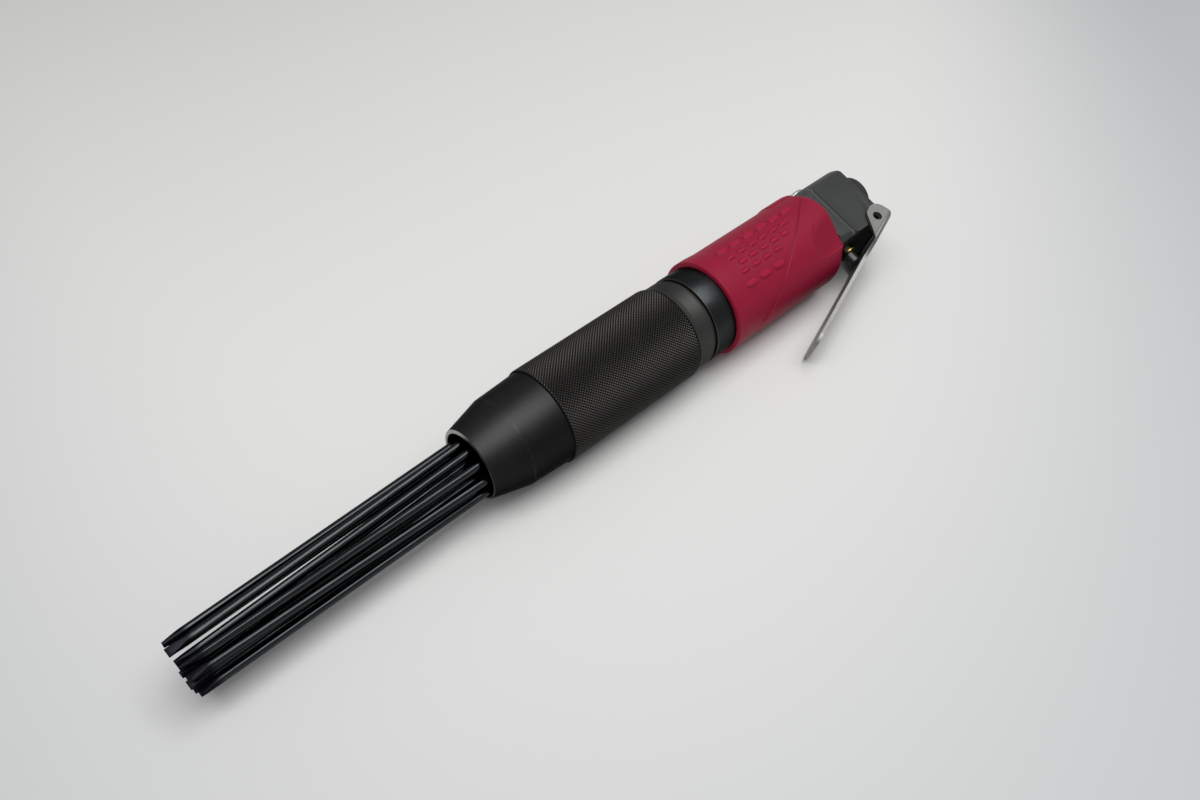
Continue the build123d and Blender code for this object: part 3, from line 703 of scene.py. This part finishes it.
valveSet = {
    "centre": (-79.5, 0, 0), "axis": (0, 1, 0), "steps": 48,
    "bush": [(5.6, 3.4, 0), (5.6, 5.0, 0), (11.0, 5.0, 0), (11.0, 4.0, 0), (16.1, 4.0, 0.4),
             (16.1, 2.45, 0.2), (10.6, 2.45, 0), (10.6, 3.4, 0)],
    "cap": [(-8.8, 0.0, 0), (-8.8, 5.0, 0), (-16.4, 5.0, 0), (-16.4, 6.0, 0), (-18.4, 6.0, 1.2),
            (-18.4, 0.0, 0)],
}
for name, node, key, slotName, look in (
    ("valveBush", "valve_bush", "bush", "brass", "brass"),
    ("valveCap", "valve_cap", "cap", "cap_bright", "cap"),
):
    bm = bmesh.new()
    addTurned(bm, valveSet[key], valveSet["steps"], valveSet["centre"], axis=valveSet["axis"])
    finishPiece(bm, name, node, "body", finish[look])

pinSet = {
    "centre": (-93.0, 13.0, 0), "axis": (0, 0, 1), "zero": (1, 0, 0), "steps": 32,
    "profile": [(-12.8, 1.3, 0.1), (-12.8, 1.95, 0.2), (12.8, 1.95, 0.2), (12.8, 1.3, 0.1)],
}
bm = bmesh.new()
addTurned(bm, pinSet["profile"], pinSet["steps"], pinSet["centre"], axis=pinSet["axis"], zero=pinSet["zero"])
finishPiece(bm, "leverPin", "lever_pin", "body", finish["pin"])


# needles: each takes its line and the turn of its edge from the solid that it stands for

needleSet = {
    "count": 12, "radius": 1.5, "head": 2.3, "headLength": 3.0, "headRound": 0.3, "steps": 24,
    "chisel": 7.0, "half": 0.45, "edge": 0.12, "edgeAngle": 25, "tipReach": 0.25,
    "tint": (0.45, 0.45, 0.45, 1),
    # the third colour on this line is painted shade for the chisel tips
    "low": (0.034, 0.0375, 0.0405), "high": (0.049, 0.053, 0.056), "tipShade": (0.009, 0.0094, 0.012),
    "rust": (0.05, 0.037, 0.028),
    "drawnSize": (0.05, 2.2, 2.2), "drawn": (1.0, 3.0, 0.6), "cloud": (0.2, 3.0),
    "tipShadeBand": (206.5, 209.5), "tipShadeShare": 0.9, "freckles": (0.45, 3.0), "rustBand": (0.66, 0.78),
    "rustShare": 0.35,
    "rough": 0.08, "roughDrawn": 0.06, "roughCloud": 0.05, "roughTipEnd": 0.25, "bump": 0.00002,
}


def makeNeedleFinish(s):
    f = Finish("needleBlackOxide", Metallic=1.0, Specular_Tint=s["tint"])
    at = f.coords()
    drawn = f.noise(f.stretch(at, s["drawnSize"]), *s["drawn"])
    cloud = f.noise(at, *s["cloud"])
    tip = f.step(f.parts(at)[0], *s["tipShadeBand"])
    rust = f.step(f.noise(at, *s["freckles"]), *s["rustBand"]) * s["rustShare"]
    base = f.blendColour(cloud, s["low"], s["high"])
    # painted shade: past the tip band the colour turns near black
    tipShade = f.blendColour(tip * s["tipShadeShare"], base, s["tipShade"])
    f.feed("Base Color", f.blendColour(rust, tipShade, s["rust"]))
    shank = s["rough"] + drawn * s["roughDrawn"] + cloud * s["roughCloud"]
    f.feed("Roughness", shank + tip * s["roughTipEnd"])
    f.bump(drawn, s["bump"])
    return f.material


def middleOf(values):
    return (min(values) + max(values)) / 2


def makeNeedle(s, number, material):
    node = f"needle_{number:02d}"
    points = [place.inverted() @ v.co for v in nodes[node].data.vertices]
    rear, front = min(p.x for p in points), max(p.x for p in points)
    head = [p for p in points if p.x < rear + meshSet["slack"]]
    start = Vector((rear + s["headLength"] / 2, middleOf([p.y for p in head]), middleOf([p.z for p in head])))
    tip = [p for p in points if p.x > front - s["tipReach"]]
    pair = max(((a, b) for a in tip for b in tip), key=lambda ab: (ab[0] - ab[1]).length)
    end = (pair[0] + pair[1]) / 2
    length = (end - start).length
    along = (end - start).normalized()
    thin = along.cross((pair[0] - pair[1]).normalized()).normalized()
    wide = thin.cross(along).normalized()
    bm = bmesh.new()
    bmesh.ops.create_cone(bm, cap_ends=True, segments=s["steps"], radius1=s["radius"], radius2=s["radius"],
                          depth=length, matrix=Matrix.Translation((0, 0, length / 2)))
    for side in (1, -1):
        cut = bmesh.ops.bisect_plane(bm, geom=bm.verts[:] + bm.edges[:] + bm.faces[:],
                                     dist=meshSet["cutNear"], clear_outer=True,
                                     plane_co=(side * s["half"], 0, length),
                                     plane_no=(side * s["chisel"], 0, s["radius"] - s["half"]))
        edges = [e for e in cut["geom_cut"] if isinstance(e, bmesh.types.BMEdge)]
        bmesh.ops.contextual_create(bm, geom=edges)
    bmesh.ops.recalc_face_normals(bm, faces=bm.faces)
    sharp = [e for e in bm.edges if e.calc_face_angle(0) > radians(s["edgeAngle"])
             and min(v.co.z for v in e.verts) > s["headLength"]]
    bmesh.ops.bevel(bm, geom=sharp, offset=s["edge"], affect="EDGES", segments=meshSet["edgeSegments"],
                    profile=0.5, material=-1, clamp_overlap=True)
    turn = Matrix((thin, wide, along)).transposed().to_4x4()
    bmesh.ops.transform(bm, matrix=Matrix.Translation(start) @ turn, verts=bm.verts)
    neck = rear + s["headLength"]
    addTurned(bm, [(rear, 0.0, 0), (rear, s["head"], s["headRound"]), (neck, s["head"], s["headRound"]),
                   (neck, 0.0, 0)], s["steps"], (0, start.y, start.z))
    finishPiece(bm, f"needle{number:02d}", node, "needle_pack", material, sharp=30)


needleFinish = makeNeedleFinish(needleSet)
for number in range(1, needleSet["count"] + 1):
    makeNeedle(needleSet, number, needleFinish)


# springs: one wire each, screwed round its axis

returnSpringSet = {
    "radius": 12.9, "wire": 0.9, "turns": 4, "length": 20.2, "sides": 12, "perTurn": 40,
    "start": (66.9, 0, 0), "turn": Matrix.Rotation(pi / 2, 4, "Y"),
    "axis": (1, 0, 0), "anchor": (88.0, 0, 0), "keep": 0.72,
}
valveSpringSet = {
    "radius": 3.0, "wire": 0.5, "turns": 5, "length": 9.0, "sides": 10, "perTurn": 24,
    "start": (-79.5, -8.3, 0), "turn": Matrix.Rotation(-pi / 2, 4, "X"),
    "axis": (0, 1, 0), "anchor": (-79.5, -8.8, 0), "keep": 0.74,
}


def makeSpring(name, node, s):
    bm = bmesh.new()
    bmesh.ops.create_circle(bm, cap_ends=True, segments=s["sides"], radius=s["wire"])
    bmesh.ops.rotate(bm, verts=bm.verts, cent=(0, 0, 0), matrix=Matrix.Rotation(pi / 2, 3, "X"))
    bmesh.ops.translate(bm, verts=bm.verts, vec=(s["radius"], 0, 0))
    steps = s["turns"] * s["perTurn"]
    bmesh.ops.spin(bm, geom=bm.faces[:], cent=(0, 0, 0), axis=(0, 0, 1), angle=2 * pi * s["turns"],
                   steps=steps, dvec=(0, 0, s["length"] / steps))
    weldAndOrient(bm)
    bmesh.ops.transform(bm, matrix=Matrix.Translation(s["start"]) @ s["turn"], verts=bm.verts)
    piece = finishPiece(bm, name, node, "body", finish["spring"])
    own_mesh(piece)


makeSpring("returnSpring", "return_spring", returnSpringSet)
makeSpring("valveSpring", "valve_spring", valveSpringSet)


# pieces that keep their solid and only get a finish

keptSet = {
    "stem": ["valve_stem"],
    "seal": ["stem_seal", "cap_seal", "throttle_poppet"],
    "inner": ["inlet_screen", "piston", "anvil", "needle_holder", "distributor_seat", "distributor_guide",
              "distributor_dowel", "distributor_flap"],
}
for look, nodeNames in keptSet.items():
    for nodeName in nodeNames:
        nodes[nodeName].data.materials.clear()
        nodes[nodeName].data.materials.append(finish[look])
    print("kept", look, len(nodeNames), "solids")


# floor

floorSet = {
    # the edge colour is painted shade outside the pool of light
    "size": 3.0, "low": (0.662, 0.660, 0.648), "high": (0.676, 0.674, 0.663), "edge": (0.46, 0.468, 0.478),
    "cloud": (3.0, 2.0), "rough": 0.7, "specular": 0.15,
    "lightPoolCentre": (-0.424, -0.667, 0.0), "lightPoolTurn": -124.7, "lightPoolSize": (1.12, 0.455, 1.0),
    "lightPoolBand": (0.67, 1.0),
}


def makeFloor(s):
    f = Finish("paleFloor", Roughness=s["rough"], Specular_IOR_Level=s["specular"])
    at = f.objectCoords()
    # a painted pool of light: the floor is palest round the tool, with painted shade outside an oval
    lightPoolAt = f.node("ShaderNodeMapping", {"vector_type": "TEXTURE"},
                    {0: at, 1: s["lightPoolCentre"], 2: (0, 0, radians(s["lightPoolTurn"])), 3: s["lightPoolSize"]})
    ahead, across, _ = f.parts(lightPoolAt)
    pale = f.blendColour(f.noise(at, *s["cloud"]), s["low"], s["high"])
    f.feed("Base Color", f.blendColour(f.step(radiusOf(ahead, across), *s["lightPoolBand"]), pale, s["edge"]))
    bm = bmesh.new()
    bmesh.ops.create_grid(bm, x_segments=1, y_segments=1, size=s["size"])
    mesh = bpy.data.meshes.new("floor")
    bm.to_mesh(mesh)
    bm.free()
    mesh.materials.append(f.material)
    floor = bpy.data.objects.new("floor", mesh)
    bpy.context.scene.collection.objects.link(floor)


makeFloor(floorSet)


# light

skySet = {"colour": (0.98, 0.99, 1.0, 1), "strength": 0.36}
lampSet = {
    "rearBox": {"at": (-0.5, 0.2, 1.0), "size": (0.34, 0.8), "power": 4.55},
    "middleBox": {"at": (0.0, 0.21, 1.0), "size": (0.5, 0.6), "power": 3.4},
    "frontBox": {"at": (0.44, 0.2, 1.0), "size": (0.34, 0.9), "power": 4.3},
}


def addLamp(name, s):
    lamp = bpy.data.lights.new(name, "AREA")
    lamp.shape = "RECTANGLE"
    lamp.size, lamp.size_y = s["size"]
    lamp.energy = s["power"]
    holder = bpy.data.objects.new(name, lamp)
    bpy.context.scene.collection.objects.link(holder)
    holder.location = s["at"]


world = bpy.data.worlds.new("studio")
bpy.context.scene.world = world
world.use_nodes = True
sky = world.node_tree.nodes["Background"]
sky.inputs["Color"].default_value = skySet["colour"]
sky.inputs["Strength"].default_value = skySet["strength"]
for lampName, lampValues in lampSet.items():
    addLamp(lampName, lampValues)
print("floor and lamps", len(lampSet))


# camera

cameraSet = {
    "at": (0.17134, 0.18346, 0.29654), "right": (-0.7327, 0.6806, 0.0), "up": (-0.5025, -0.5410, 0.6744),
    "lens": 31.5, "sensor": 36.0, "nearest": 0.01,
}
lens = bpy.data.cameras.new("camera")
lens.lens, lens.sensor_width, lens.sensor_fit = cameraSet["lens"], cameraSet["sensor"], "HORIZONTAL"
lens.clip_start = cameraSet["nearest"]
camera = bpy.data.objects.new("camera", lens)
bpy.context.scene.collection.objects.link(camera)
right, up = Vector(cameraSet["right"]).normalized(), Vector(cameraSet["up"]).normalized()
turn = Matrix((right, up, right.cross(up))).transposed().to_4x4()
camera.matrix_world = Matrix.Translation(cameraSet["at"]) @ turn
bpy.context.scene.camera = camera
bpy.context.scene.view_settings.view_transform = "Standard"
print("camera", cameraSet["lens"], "mm")
